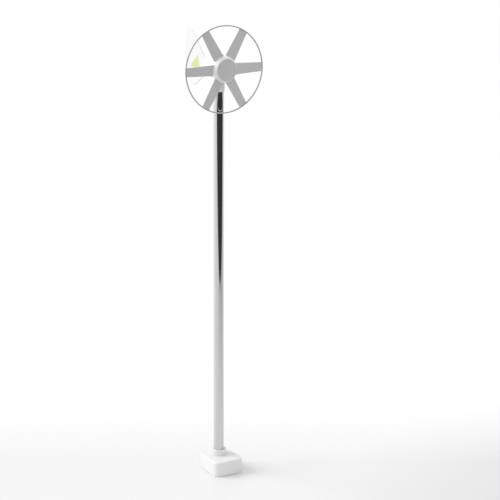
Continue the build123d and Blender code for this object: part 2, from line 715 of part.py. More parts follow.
# === Nacelle, neck and tail ================================================================
def fin_outline():
    """The fin's outline, as (distance behind the pole axis, height above the shaft)."""
    with BuildLine() as outline:
        front = Spline((118, 12), (150, 32), (200, 83), (256, 137), (308, 179),
                       tangents=((1, 0.3), (1, 0.7)))
        top = Spline(front @ 1, (325, 188), (358, 192), (372, 179), tangents=((1, 0.67), (0.35, -1)))
        rear = Spline(top @ 1, (386, 88), (388, -12), (366, -98), tangents=((0.2, -1), (-0.35, -1)))
        corner = Spline(rear @ 1, (342, -131), (306, -137), tangents=((-0.35, -1), (-1, 0.03)))
        below = Spline(corner @ 1, (230, -105), (165, -67), (118, -40), tangents=((-1, 0.03), (-1, 0.42)))
        Polyline(below @ 1, (50, -20), (50, 18), front @ 0)
    return outline.line


def fin_solid(half_thickness, mode=Mode.ADD):
    """The fin plate, or the slot that it fills in the nacelle."""
    with BuildSketch(fin_plane.offset(-half_thickness)) as outline:
        add(fin_outline())
        make_face()
    extrude(outline.sketch, amount=2 * half_thickness, mode=mode)


with BuildPart() as tail_fin:
    fin_solid(fin_thickness / 2)
    fin_bolt_holes(3)
save(tail_fin, "tail_fin")

with BuildPart() as fin_bolts:
    fin_bolt_holes(3, Mode.ADD)
    reach = lug_inner + lug_thickness
    for side in (-1, 1):
        heads = [Plane(origin=(side * reach, along, axis_height + height), z_dir=(side, 0, 0))
                 for along, height in fin_bolt_spots]
        hex_heads(heads, 10, 4)
save(fin_bolts, "fin_bolts")

decal_corners = [(214, -30), (238, 50), (328, -24), (334, -32)]

with BuildPart() as fin_decals:
    for side in (-1, 1):
        face = Plane(origin=(side * fin_thickness / 2, 0, axis_height), x_dir=(0, 1, 0), z_dir=(1, 0, 0))
        with BuildSketch(face) as sticker:
            with BuildLine():
                FilletPolyline(*decal_corners, radius=3, close=True)
            make_face()
        extrude(sticker.sketch, amount=side * decal_thickness)
save(fin_decals, "fin_decals")


def nacelle_body(inset, front):
    """The nacelle's round body, inset from its outer surface."""
    radius = nacelle_radius - inset
    tail = nacelle_tail - inset
    with BuildSketch(rotor_plane) as profile:
        with BuildLine():
            Line((0, front), (radius, front))
            Line((radius, front), (radius, nacelle_shoulder))
            Spline((radius, nacelle_shoulder), (radius - 11, 112), (radius - 34, 143), (0, tail),
                   tangents=((0, 1), (-1, 0)))
            Line((0, tail), (0, front))
        make_face()
    revolve(profile.sketch, axis=rotor_axis)


for name, side in (("nacelle_left", -1), ("nacelle_right", 1)):
    with BuildPart() as nacelle_half:
        nacelle_body(0, nacelle_front)
        fillet(nacelle_half.edges().group_by(Axis.Y)[0], 2)
        with BuildPart(mode=Mode.PRIVATE) as inside:
            nacelle_body(nacelle_wall, nacelle_front - 5)
        add(inside.part, mode=Mode.SUBTRACT)
        pole_tube_piece(0, neck_radius + 0.1, axis_height - 80, axis_height - 20, Mode.SUBTRACT)
        pins(shell_screw_planes, 1.6, 20, Mode.SUBTRACT)
        fin_solid(fin_thickness / 2 + 0.05, Mode.SUBTRACT)
        split(bisect_by=Plane(origin=(side * 0.02, 0, axis_height), z_dir=(side, 0, 0)))
    save(nacelle_half, name)

with BuildPart() as nacelle_screws:
    pins(shell_screw_planes, 1.6, nacelle_radius - 46)
    head_planes = [out_from_shaft(angle, nacelle_radius, shell_screw_along) for angle in shell_screw_angles]
    pins(head_planes, 3, 1.6)
save(nacelle_screws, "nacelle_screws")

with BuildPart() as neck_sleeve:
    sleeve_outline = [
        (neck_bore, neck_bottom), (neck_radius - 1, neck_bottom), (neck_radius, neck_bottom + 1),
        (neck_radius, neck_top), (neck_bore, neck_top),
    ]
    turn(pole_plane, pole_axis, sleeve_outline)
    pole_tube_piece(yaw_tube_radius, neck_bore, axis_height - 74, axis_height - 58)
    pins(neck_screw_planes, 2, 20, Mode.SUBTRACT)
save(neck_sleeve, "neck_sleeve")

with BuildPart() as neck_screws:
    pins(neck_screw_planes, 2, neck_radius - 22)
    head_planes = [out_from_pole(angle, neck_radius, neck_screw_height) for angle in neck_screw_angles]
    pins(head_planes, 3.4, 1.8)
save(neck_screws, "neck_screws")

with BuildPart() as neck_seal:
    pole_tube_piece(pole_radius + running_gap + 0.1, neck_bore, neck_bottom + 2, neck_bottom + 7)
save(neck_seal, "neck_seal")
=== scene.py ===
import json
from math import cos, hypot, pi, radians, sin, sqrt, tan

import bmesh
import bpy
from mathutils import Matrix, Vector


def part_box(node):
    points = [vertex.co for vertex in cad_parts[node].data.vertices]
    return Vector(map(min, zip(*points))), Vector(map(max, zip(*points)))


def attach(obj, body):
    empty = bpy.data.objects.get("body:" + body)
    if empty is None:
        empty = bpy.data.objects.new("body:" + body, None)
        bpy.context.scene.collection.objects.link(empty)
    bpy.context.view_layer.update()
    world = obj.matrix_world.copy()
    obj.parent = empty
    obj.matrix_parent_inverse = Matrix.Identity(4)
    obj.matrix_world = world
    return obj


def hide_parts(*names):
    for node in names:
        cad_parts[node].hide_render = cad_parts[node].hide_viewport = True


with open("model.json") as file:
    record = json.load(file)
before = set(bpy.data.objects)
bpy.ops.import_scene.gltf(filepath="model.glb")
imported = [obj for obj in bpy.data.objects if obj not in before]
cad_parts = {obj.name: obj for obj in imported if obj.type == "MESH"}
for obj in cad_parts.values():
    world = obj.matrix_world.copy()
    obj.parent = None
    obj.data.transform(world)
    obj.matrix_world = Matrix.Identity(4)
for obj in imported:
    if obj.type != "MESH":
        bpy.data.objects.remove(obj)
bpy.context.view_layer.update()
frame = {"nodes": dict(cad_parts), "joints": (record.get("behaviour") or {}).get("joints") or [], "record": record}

# A small ringed wind turbine on a polished pole. Everything is in metres, in the CAD model's frame:
# the pole stands on the Z axis, the floor is z = 0 and the rotor faces -Y.

MM = 0.001


def joint_place(name):
    """Where a joint's axis passes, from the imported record."""
    return Vector(next(joint["pos_m"] for joint in frame["joints"] if joint["name"] == name))


axis_height = joint_place("rotor_spin").z


# === Node material helpers ==================================================================
def new_material(name):
    """A material with a Principled shader, and its node tree, shader and object coordinates."""
    material = bpy.data.materials.new(name)
    material.use_nodes = True
    tree = material.node_tree
    shader = tree.nodes["Principled BSDF"]
    coordinates = tree.nodes.new("ShaderNodeTexCoord")
    return material, tree, shader, coordinates.outputs["Object"]


def stretched(tree, source, scale):
    """Coordinates stretched along the axes, so that a texture can run along a part."""
    mapping = tree.nodes.new("ShaderNodeMapping")
    mapping.inputs["Scale"].default_value = scale
    tree.links.new(source, mapping.inputs["Vector"])
    return mapping.outputs["Vector"]


def noise(tree, source, scale, detail=3.0, roughness=0.55):
    """A noise texture's value, from 0 to 1."""
    node = tree.nodes.new("ShaderNodeTexNoise")
    node.inputs["Scale"].default_value = scale
    node.inputs["Detail"].default_value = detail
    node.inputs["Roughness"].default_value = roughness
    tree.links.new(source, node.inputs["Vector"])
    return node.outputs["Fac"]


def remap(tree, source, low_in, high_in, low_out, high_out):
    """An even change of range, held at both ends."""
    node = tree.nodes.new("ShaderNodeMapRange")
    node.inputs["From Min"].default_value = low_in
    node.inputs["From Max"].default_value = high_in
    node.inputs["To Min"].default_value = low_out
    node.inputs["To Max"].default_value = high_out
    tree.links.new(source, node.inputs["Value"])
    return node.outputs["Result"]


def blend_colours(tree, factor, first, second):
    """Mixes two colours, or a colour and a socket, by a factor socket."""
    node = tree.nodes.new("ShaderNodeMix")
    node.data_type = "RGBA"
    tree.links.new(factor, node.inputs["Factor"])
    for socket, value in ((node.inputs[6], first), (node.inputs[7], second)):
        if isinstance(value, bpy.types.NodeSocket):
            tree.links.new(value, socket)
        else:
            socket.default_value = (*value, 1.0)
    return node.outputs[2]


def add_bump(tree, shader, height, strength, distance):
    """Gives the shader a bump from a height socket; the distance is in metres."""
    bump = tree.nodes.new("ShaderNodeBump")
    bump.inputs["Strength"].default_value = strength
    bump.inputs["Distance"].default_value = distance
    tree.links.new(height, bump.inputs["Height"])
    tree.links.new(bump.outputs["Normal"], shader.inputs["Normal"])


# === Materials ==============================================================================
def moulded_plastic(name, colour, shade, roughness, grain, grain_depth, dust=0.0):
    """Moulded plastic: faint flow marks in the colour, a fine grain, uneven gloss and dust on top."""
    material, tree, shader, place = new_material(name)
    flow = noise(tree, place, 9.0, 4.0)
    colour_socket = blend_colours(tree, remap(tree, flow, 0.35, 0.7, 0.0, 1.0), colour, shade)
    if dust:
        normal = tree.nodes.new("ShaderNodeNewGeometry").outputs["Normal"]
        split = tree.nodes.new("ShaderNodeSeparateXYZ")
        tree.links.new(normal, split.inputs[0])
        upward = remap(tree, split.outputs["Z"], 0.4, 1.0, 0.0, dust)
        spots = tree.nodes.new("ShaderNodeMath")
        spots.operation = "MULTIPLY"
        specks = remap(tree, noise(tree, place, 60.0, 6.0, 0.7), 0.4, 0.65, 0.0, 1.0)
        tree.links.new(upward, spots.inputs[0])
        tree.links.new(specks, spots.inputs[1])
        dusty = tuple(0.86 * value for value in shade)
        colour_socket = blend_colours(tree, spots.outputs[0], colour_socket, dusty)
    tree.links.new(colour_socket, shader.inputs["Base Color"])
    patches = noise(tree, place, 24.0, 5.0, 0.65)
    gloss = remap(tree, patches, 0.3, 0.7, roughness - 0.05, roughness + 0.07)
    tree.links.new(gloss, shader.inputs["Roughness"])
    add_bump(tree, shader, noise(tree, place, grain, 2.0), 0.35, grain_depth)
    return material


def brushed_metal(name, colour, shade, roughness, stretch):
    """Turned or brushed metal: fine lines in one direction, with smudges in the gloss."""
    material, tree, shader, place = new_material(name)
    lines = noise(tree, stretched(tree, place, stretch), 900.0, 2.0)
    tree.links.new(blend_colours(tree, remap(tree, lines, 0.3, 0.7, 0.0, 1.0), colour, shade),
                   shader.inputs["Base Color"])
    shader.inputs["Metallic"].default_value = 1.0
    smudges = noise(tree, place, 70.0, 5.0, 0.7)
    gloss = remap(tree, smudges, 0.3, 0.7, roughness - 0.05, roughness + 0.1)
    tree.links.new(gloss, shader.inputs["Roughness"])
    add_bump(tree, shader, lines, 0.25, 0.00005)
    return material


def cast_metal(name, colour, shade, roughness, metallic):
    """Cast metal, bare or powder coated: a sandy skin with darker pores."""
    material, tree, shader, place = new_material(name)
    pores = noise(tree, place, 420.0, 6.0, 0.75)
    tree.links.new(blend_colours(tree, remap(tree, pores, 0.35, 0.62, 0.0, 1.0), shade, colour),
                   shader.inputs["Base Color"])
    shader.inputs["Metallic"].default_value = metallic
    gloss = remap(tree, pores, 0.3, 0.7, roughness + 0.1, roughness - 0.06)
    tree.links.new(gloss, shader.inputs["Roughness"])
    add_bump(tree, shader, pores, 0.6, 0.0004)
    return material


def polished_chrome(name):
    """Polished tube: nearly a mirror, with faint polishing lines along it and a few dull smudges."""
    material, tree, shader, place = new_material(name)
    lines = noise(tree, stretched(tree, place, (1.0, 1.0, 0.004)), 1500.0, 2.0)
    bright, dull = (0.64, 0.64, 0.65), (0.60, 0.60, 0.61)
    tree.links.new(blend_colours(tree, remap(tree, lines, 0.3, 0.7, 0.0, 1.0), bright, dull),
                   shader.inputs["Base Color"])
    shader.inputs["Metallic"].default_value = 1.0
    smudges = noise(tree, place, 16.0, 6.0, 0.72)
    tree.links.new(remap(tree, smudges, 0.45, 0.75, 0.05, 0.10), shader.inputs["Roughness"])
    add_bump(tree, shader, lines, 0.04, 0.00002)
    return material


white_shell = moulded_plastic("white_shell", (0.88, 0.88, 0.88), (0.85, 0.85, 0.845),
                              0.36, 1400.0, 0.00006, 0.12)
white_fin = moulded_plastic("white_fin", (0.79, 0.79, 0.79), (0.765, 0.765, 0.76),
                            0.4, 1400.0, 0.00006, 0.12)
white_cover = moulded_plastic("white_cover", (0.745, 0.745, 0.74), (0.715, 0.715, 0.71),
                              0.38, 1100.0, 0.00009, 0.25)
rotor_grey = moulded_plastic("rotor_grey", (0.63, 0.63, 0.635), (0.60, 0.60, 0.605),
                             0.5, 1200.0, 0.00009, 0.1)
rim_grey = moulded_plastic("rim_grey", (0.45, 0.45, 0.455), (0.42, 0.42, 0.425),
                           0.55, 1200.0, 0.00009, 0.1)
black_nylon = moulded_plastic("black_nylon", (0.03, 0.03, 0.032), (0.022, 0.022, 0.022), 0.5, 900.0, 0.0001)
grey_rubber = moulded_plastic("grey_rubber", (0.42, 0.42, 0.415), (0.37, 0.37, 0.365), 0.75, 500.0, 0.0002)
lime_vinyl = moulded_plastic("lime_vinyl", (0.60, 0.69, 0.30), (0.57, 0.66, 0.27), 0.35, 2200.0, 0.00002)
board_green = moulded_plastic("board_green", (0.03, 0.16, 0.06), (0.05, 0.22, 0.09), 0.4, 800.0, 0.0001)
zinc_steel = brushed_metal("zinc_steel", (0.66, 0.66, 0.65), (0.52, 0.52, 0.52), 0.32, (1.0, 1.0, 1.0))
turned_steel = brushed_metal("turned_steel", (0.60, 0.60, 0.60), (0.47, 0.47, 0.48), 0.26, (1.0, 6.0, 6.0))
ground_steel = brushed_metal("ground_steel", (0.74, 0.74, 0.73), (0.62, 0.62, 0.62), 0.16, (1.0, 4.0, 4.0))
sheet_steel = brushed_metal("sheet_steel", (0.34, 0.34, 0.36), (0.24, 0.24, 0.26), 0.4, (1.0, 40.0, 1.0))
nickel = brushed_metal("nickel", (0.70, 0.67, 0.62), (0.60, 0.57, 0.52), 0.18, (1.0, 1.0, 1.0))
polished_brass = brushed_metal("polished_brass", (0.80, 0.60, 0.26), (0.70, 0.50, 0.20),
                               0.22, (1.0, 1.0, 6.0))
copper_wire = brushed_metal("copper_wire", (0.72, 0.30, 0.11), (0.50, 0.18, 0.06), 0.3, (1.0, 9.0, 1.0))
grey_powder = cast_metal("grey_powder", (0.42, 0.43, 0.44), (0.36, 0.37, 0.38), 0.5, 0.0)
cast_iron = cast_metal("cast_iron", (0.13, 0.13, 0.135), (0.06, 0.058, 0.056), 0.6, 0.8)
cast_aluminium = cast_metal("cast_aluminium", (0.62, 0.62, 0.63), (0.42, 0.42, 0.43), 0.42, 1.0)
chrome = polished_chrome("chrome")

slot_materials = {
    "rubber": grey_rubber, "plate_steel": grey_powder, "ballast_iron": cast_iron,
    "cover_white": white_cover, "shell_white": white_shell, "fin_white": white_fin,
    "rotor_grey": rotor_grey, "rim_grey": rim_grey, "decal_lime": lime_vinyl, "pole_chrome": chrome,
    "fastener_steel": zinc_steel, "machined_steel": turned_steel, "bearing_steel": ground_steel,
    "core_steel": sheet_steel, "magnet_nickel": nickel, "coil_copper": copper_wire,
    "brass": polished_brass, "cast_aluminium": cast_aluminium, "black_plastic": black_nylon,
    "board_green": board_green,
}
node_slots = {entry["node"]: entry["material_slot"] for entry in frame["record"]["subparts"]}


def finish_cad_nodes():
    """Gives every carried-over CAD node its finish."""
    for name, node in frame["nodes"].items():
        node.data.materials.clear()
        node.data.materials.append(slot_materials[node_slots[name]])


# === Stage: floor, light and camera =========================================================
view_azimuth = radians(-29.5)
camera_distance = 9.0
camera_height = 3.76
camera_pitch = radians(14.93)
camera_lens = 115.05
pole_offset = 0.0625        # the pole stands left of the picture's middle by this share of its width

sky_strength = 0.92
dark_room_strength = 0.05
key_strength = 1.75
key_height = radians(38)
key_spread = radians(38)

toward_camera = Vector((sin(view_azimuth), -cos(view_azimuth), 0))


def add_camera():
    """The camera stands to the left of the rotor's axis and looks down at the pole."""
    data = bpy.data.cameras.new("camera")
    data.lens = camera_lens
    data.sensor_width = 36.0
    data.shift_x = pole_offset
    camera = bpy.data.objects.new("camera", data)
    bpy.context.scene.collection.objects.link(camera)
    camera.location = toward_camera * camera_distance + Vector((0, 0, camera_height))
    forward = -toward_camera * cos(camera_pitch) + Vector((0, 0, -sin(camera_pitch)))
    camera.rotation_euler = forward.to_track_quat("-Z", "Y").to_euler()
    bpy.context.scene.camera = camera


def distance_along(tree, place, direction):
    """How far a point lies in a direction from the pole's foot."""
    measure = tree.nodes.new("ShaderNodeVectorMath")
    measure.operation = "DOT_PRODUCT"
    measure.inputs[1].default_value = direction
    tree.links.new(place, measure.inputs[0])
    return measure.outputs["Value"]


def add_floor():
    """A white floor with painted shade that darkens it towards the front right and painted light that brightens it
    at the back, cut off in front.

    Beyond its front edge the polished pole reflects a dark room.
    """
    front, back, side = -4.0, 90.0, 60.0
    front_right, away = (0.45, -0.89, 0.0), (0.49, 0.87, 0.0)
    # Painted shade and painted light: the grey towards the front right and the brighter white at the back stand in
    # for light falling unevenly on the floor.
    middle_white, far_painted_light, front_painted_shade = (0.74, 0.74, 0.74), (0.82, 0.82, 0.82), (0.42, 0.42, 0.42)
    painted_shade_start, painted_shade_end = 0.6, 4.0
    painted_light_start, painted_light_end = 0.1, 1.2
    mesh = bpy.data.meshes.new("floor")
    corners = [(-side, front, 0), (side, front, 0), (side, back, 0), (-side, back, 0)]
    mesh.from_pydata(corners, [], [(0, 1, 2, 3)])
    material, tree, shader, place = new_material("floor")
    # Painted shade towards the front right and painted light towards the back, blended into the floor's colour by
    # place.
    painted_shade_share = remap(tree, distance_along(tree, place, front_right), painted_shade_start, painted_shade_end, 0.0, 1.0)
    painted_light_share = remap(tree, distance_along(tree, place, away), painted_light_start, painted_light_end, 0.0, 1.0)
    floor_with_painted_shade = blend_colours(tree, painted_shade_share, middle_white, front_painted_shade)
    tree.links.new(blend_colours(tree, painted_light_share, floor_with_painted_shade, far_painted_light), shader.inputs["Base Color"])
    shader.inputs["Roughness"].default_value = 0.5
    mesh.materials.append(material)
    floor = bpy.data.objects.new("floor", mesh)
    bpy.context.scene.collection.objects.link(floor)


def add_world():
    """White to the camera all round, and to the parts a bright sky over a dark room."""
    world = bpy.data.worlds.new("studio")
    bpy.context.scene.world = world
    world.use_nodes = True
    tree = world.node_tree
    background = tree.nodes["Background"]
    coordinates = tree.nodes.new("ShaderNodeTexCoord")
    split = tree.nodes.new("ShaderNodeSeparateXYZ")
    tree.links.new(coordinates.outputs["Generated"], split.inputs[0])
    sky = remap(tree, split.outputs["Z"], -0.02, 0.0, dark_room_strength, sky_strength)
    path = tree.nodes.new("ShaderNodeLightPath")
    choose = tree.nodes.new("ShaderNodeMix")
    tree.links.new(path.outputs["Is Camera Ray"], choose.inputs["Factor"])
    tree.links.new(sky, choose.inputs[2])
    choose.inputs[3].default_value = 1.0
    tree.links.new(choose.outputs[0], background.inputs["Strength"])
    background.inputs["Color"].default_value = (1.0, 1.0, 1.0, 1.0)


def add_key_light():
    """A soft sun from the left and a little behind, which lights the floor evenly."""
    data = bpy.data.lights.new("key", "SUN")
    data.energy = key_strength
    data.angle = key_spread
    light = bpy.data.objects.new("key", data)
    bpy.context.scene.collection.objects.link(light)
    towards = Vector((-0.805, 0.593, tan(key_height)))
    light.rotation_euler = towards.to_track_quat("Z", "Y").to_euler()


# === Mesh helpers ===========================================================================
rotor_axis_point = Vector((0, 0, axis_height))


def finish_piece(name, mesh, slot, body, *nodes, smooth_angle=35):
    """Makes a mesh a piece: shaded, with its slot's material, on its body, in place of its CAD nodes.

    The weighted normals keep flat faces flat beside rounded corners.
    """
    mesh.name = name
    mesh.materials.clear()
    mesh.materials.append(slot_materials[slot])
    mesh.shade_smooth()
    mesh.set_sharp_from_angle(angle=radians(smooth_angle))
    piece = bpy.data.objects.new(name, mesh)
    bpy.context.scene.collection.objects.link(piece)
    weighted = piece.modifiers.new("weighted", "WEIGHTED_NORMAL")
    weighted.keep_sharp = True
    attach(piece, body)
    if nodes:
        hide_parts(*nodes)


def mesh_from(points, faces):
    """A mesh from points and faces, welded and with its normals outwards."""
    mesh = bpy.data.meshes.new("shape")
    mesh.from_pydata(points, [], faces)
    shape = bmesh.new()
    shape.from_mesh(mesh)
    bmesh.ops.remove_doubles(shape, verts=shape.verts, dist=1e-6)
    bmesh.ops.delete(shape, geom=[edge for edge in shape.edges if not edge.link_faces], context="EDGES")
    bmesh.ops.recalc_face_normals(shape, faces=shape.faces)
    shape.to_mesh(mesh)
    shape.free()
    return mesh


def lofted(loops, closed=False):
    """A skin over loops of (x, y, z) points in millimetres.

    It is capped at both ends, or when closed the last loop joins the first.
    """
    points = [(x * MM, y * MM, z * MM) for loop in loops for x, y, z in loop]
    count = len(loops[0])
    faces = []
    for level in range(len(loops) if closed else len(loops) - 1):
        here = level * count
        there = (level + 1) % len(loops) * count
        for n in range(count):
            after = (n + 1) % count
            faces.append((here + n, here + after, there + after, there + n))
    if not closed:
        faces.append(tuple(range(count)))
        faces.append(tuple(range(len(points) - count, len(points))))
    return mesh_from(points, faces)


def joined(meshes):
    """Several meshes as one, each a separate shell in it."""
    shape = bmesh.new()
    for mesh in meshes:
        shape.from_mesh(mesh)
    whole = bpy.data.meshes.new("shape")
    shape.to_mesh(whole)
    shape.free()
    return whole


def rounded(corners, steps=5):
    """A section outline in millimetres with its corners rounded: corners are (x, y) or (x, y, radius)."""
    outline = []
    for n, corner in enumerate(corners):
        here = Vector(corner[:2])
        radius = corner[2] if len(corner) > 2 else 0
        if not radius:
            outline.append(tuple(here))
            continue
        before = Vector(corners[n - 1][:2]) - here
        after = Vector(corners[(n + 1) % len(corners)][:2]) - here
        half = before.angle(after) / 2
        reach = min(radius / tan(half), 0.49 * before.length, 0.49 * after.length)
        middle = here + (before.normalized() + after.normalized()).normalized() * (reach / cos(half))
        first = here + before.normalized() * reach - middle
        last = here + after.normalized() * reach - middle
        for step in range(steps + 1):
            outline.append(tuple(middle + first.slerp(last, step / steps) * first.length))
    return outline


def turned(section, segments=128, arc=2 * pi, start=0.0):
    """Turns a closed (radius, height) section in millimetres round Z, all the way or through an arc."""
    closed = arc == 2 * pi
    columns = []
    for column in range(segments if closed else segments + 1):
        angle = start + arc * column / segments
        columns.append([(radius * cos(angle), radius * sin(angle), height) for radius, height in section])
    return lofted(columns, closed)


def drum(radius, low, high, segments):
    """A plain round cutter on Z."""
    return turned([(0, low), (radius, low), (radius, high), (0, high)], segments)


# A turned shape stands on Z. This lays it along the shaft, its heights becoming distances along Y.
along_shaft = Matrix.Translation(rotor_axis_point) @ Matrix.Rotation(radians(-90), 4, "X")


def moved(mesh, matrix):
    """The same mesh, at its place."""
    mesh.transform(matrix)
    return mesh


def facing(place, outward):
    """A placement whose Z looks outwards from a point."""
    turn = Vector(outward).to_track_quat("Z", "Y").to_matrix().to_4x4()
    return Matrix.Translation(Vector(place)) @ turn


def around_pole(angles, radius, height):
    """Placements round the pole, looking outwards; angles in degrees, sizes in millimetres."""
    placements = []
    for angle in angles:
        outward = Vector((cos(radians(angle)), sin(radians(angle)), 0))
        placements.append(facing(outward * (radius * MM) + Vector((0, 0, height * MM)), outward))
    return placements


def around_shaft(angles, radius, along):
    """Placements round the rotor's shaft, looking outwards."""
    placements = []
    for angle in angles:
        outward = Vector((cos(radians(angle)), 0, sin(radians(angle))))
        place = rotor_axis_point + outward * (radius * MM) + Vector((0, along * MM, 0))
        placements.append(facing(place, outward))
    return placements


def cut(mesh, cutter_mesh):
    """One mesh with another cut out of it."""
    blank = bpy.data.objects.new("blank", mesh)
    cutter = bpy.data.objects.new("cutter", cutter_mesh)
    bpy.context.scene.collection.objects.link(blank)
    bpy.context.scene.collection.objects.link(cutter)
    boolean = blank.modifiers.new("cut", "BOOLEAN")
    boolean.operation = "DIFFERENCE"
    boolean.solver = "EXACT"
    boolean.use_self = True
    boolean.object = cutter
    graph = bpy.context.evaluated_depsgraph_get()
    result = bpy.data.meshes.new_from_object(blank.evaluated_get(graph))
    bpy.data.objects.remove(blank)
    bpy.data.objects.remove(cutter)
    return result


def cap_screw(radius, height, drive, depth):
    """A socket-head screw's head: a bevelled round head with a hexagonal drive, standing on z = 0."""
    bevel = 0.14 * radius
    angles = [2 * pi * n / 24 for n in range(24)]
    loops = []
    for ring_radius, level in ((radius, 0.0), (radius, height - bevel), (radius - bevel, height)):
        loops.append([(ring_radius * cos(angle), ring_radius * sin(angle), level) for angle in angles])
    for level in (height, height - depth):
        socket = []
        for angle in angles:
            reach = drive / cos(angle % (pi / 3) - pi / 6)
            socket.append((reach * cos(angle), reach * sin(angle), level))
        loops.append(socket)
    return lofted(loops)


def screw_heads(placements, radius, height, drive, depth):
    """The same screw head at every placement."""
    return joined([moved(cap_screw(radius, height, drive, depth), place) for place in placements])


def box_mesh(x_range, y_range, z_range):
    """A plain box between millimetre limits, used as a cutter."""
    (front, back), (low, high) = y_range, z_range
    return lofted([[(x, front, low), (x, back, low), (x, back, high), (x, front, high)] for x in x_range])


def slot_mesh(middle, width, height, depth, steps=8):
    """A round-ended slot through a side wall: long in Z, cut along X."""
    outline = []
    straight = (height - width) / 2
    for sign, start in ((1, 0.0), (-1, pi)):
        for step in range(steps + 1):
            angle = start + pi * step / steps
            outline.append((width / 2 * cos(angle), sign * straight + width / 2 * sin(angle)))
    return lofted([[(middle.x + offset, middle.y + along, middle.z + up) for along, up in outline]
                   for offset in (-depth, depth)])


# === Sizes taken from the frame, in millimetres ============================================
def span(node, axis):
    """A node's lowest and highest coordinate along an axis, in millimetres."""
    low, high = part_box(node)
    return low[axis] / MM, high[axis] / MM


ring_front, ring_back = span("rim_ring", 1)
ring_outer = span("rim_ring", 0)[1]
ring_wall = 7.0             # how thick the rim ring is, from its inside to its outside
ring_inner = ring_outer - ring_wall
ring_plane = (ring_front + ring_back) / 2
hub_front, hub_back = span("hub_shell", 1)
hub_radius = span("hub_shell", 0)[1]
nose_front, nose_back = span("nose_disc", 1)
nose_radius = span("nose_disc", 0)[1]
pole_low, pole_high = span("pole", 2)
pole_radius = span("pole", 0)[1]
nacelle_front, nacelle_tail = span("nacelle_left", 1)
nacelle_radius = span("nacelle_right", 0)[1]
neck_low, neck_high = span("neck_sleeve", 2)
neck_radius = span("neck_sleeve", 0)[1]
collar_low, collar_high = span("foot_collar", 2)
collar_radius = span("foot_collar", 0)[1]
collar_skirt = 8.8          # how far the collar reaches out past the hole in the cover
cover_low, cover_high = span("base_cover", 2)
cover_half_width = span("base_cover", 0)[1]
cover_front, cover_back = span("base_cover", 1)
fin_half = span("tail_fin", 0)[1]
axis_mm = axis_height / MM

blade_count = 6
root_chord, tip_chord = 64.0, 50.5
root_pitch, tip_pitch = 9.0, 5.0
root_thickness, tip_thickness = 8.0, 5.8
camber_share = 0.03
shell_wall = 2.6


# === Rotor ==================================================================================
def blade_section(chord, thickness, points=26):
    """A cambered aerofoil, hollow towards the wind: (along the chord, towards the wind).

    Its thickness follows the usual four-digit aerofoil formula.
    """
    camber = camber_share * chord
    fullness, blunt_edge = 0.96, 0.6
    front, back = [], []
    for n in range(points + 1):
        share = 0.5 - 0.5 * cos(pi * n / points)
        body = 5 * (0.2969 * sqrt(share) - 0.126 * share - 0.3516 * share ** 2
                    + 0.2843 * share ** 3 - 0.1015 * share ** 4)
        bow = 4 * camber * share * (1 - share)
        half = thickness * body * fullness + blunt_edge * share
        along = (share - 0.5) * chord
        front.append((along, half - bow))
        back.append((along, -half - bow))
    return front + back[-1:0:-1]


def pitched(distance, along, out, pitch):
    """A point of the first blade, in millimetres from the rotor's axis, from its place in the section."""
    back = along * sin(pitch) - out * cos(pitch)
    up = along * cos(pitch) + out * sin(pitch)
    return (distance, ring_plane + back, up)


def turned_to_blade(number):
    """The turn from the first blade to another, about the shaft."""
    return Matrix.Translation(rotor_axis_point) @ Matrix.Rotation(2 * pi * number / blade_count, 4, "Y")


def blade_mesh(number):
    """One blade, from inside the hub's wall to the rim ring, with a fillet at its root and its tip."""
    stations = 30
    root_fillet, tip_fillet = 7.0, 5.0
    inside_hub, inside_ring = 1.2, 0.4
    reach = ring_inner - hub_radius
    loops = []
    for station in range(stations + 1):
        run = (station / stations) ** 1.15
        distance = hub_radius - inside_hub + run * (reach + inside_hub + inside_ring)
        share = (distance - hub_radius) / reach
        at_root = max(0.0, 1 - (distance - hub_radius) / root_fillet) ** 2
        at_tip = max(0.0, 1 - (ring_inner - distance) / tip_fillet) ** 2
        chord = root_chord + share * (tip_chord - root_chord) + 5.0 * at_root + 4.0 * at_tip
        thickness = (root_thickness + share * (tip_thickness - root_thickness)
                     + 4.5 * at_root + 1.6 * at_tip)
        pitch = radians(root_pitch + share * (tip_pitch - root_pitch))
        section = blade_section(chord, thickness)
        loops.append([pitched(distance, along, out, pitch) for along, out in section])
    return moved(lofted(loops), turned_to_blade(number))


def add_blades():
    """Six like blades, numbered as their CAD nodes."""
    for number in range(blade_count):
        node = f"blade_{number + 1}"
        finish_piece(f"moulded_{node}", blade_mesh(number), "rotor_grey", "rotor", node, smooth_angle=50)


def rim_screw_placements(distance):
    """Where the rim screws stand on the ring, two to a blade, looking outwards."""
    placements = []
    for number in range(blade_count):
        for chordwise in (-7.0, 7.0):
            spot = pitched(distance, chordwise, -camber_share * tip_chord, radians(tip_pitch))
            upright = Matrix.Translation(Vector(spot) * MM) @ Matrix.Rotation(radians(90), 4, "Y")
            placements.append(turned_to_blade(number) @ upright)
    return placements


def add_rim_ring():
    """The rim: a rounded hoop with counterbored screws at every blade tip."""
    inside_round, outside_round = 2.6, 3.0
    pocket_radius, pocket_depth = 2.6, 2.7
    section = rounded([(ring_inner, ring_front, inside_round), (ring_outer, ring_front, outside_round),
                       (ring_outer, ring_back, outside_round), (ring_inner, ring_back, inside_round)])
    placements = rim_screw_placements(ring_outer - pocket_depth)
    pockets = joined([moved(drum(pocket_radius, 0, 4, 20), place) for place in placements])
    hoop = cut(moved(turned(section, 240), along_shaft), pockets)
    finish_piece("rim_hoop", hoop, "rim_grey", "rotor", "rim_ring")
    heads = screw_heads(placements, radius=2.45, height=1.5, drive=1.25, depth=0.9)
    finish_piece("rim_screw_heads", heads, "fastener_steel", "rotor", "rim_screws")


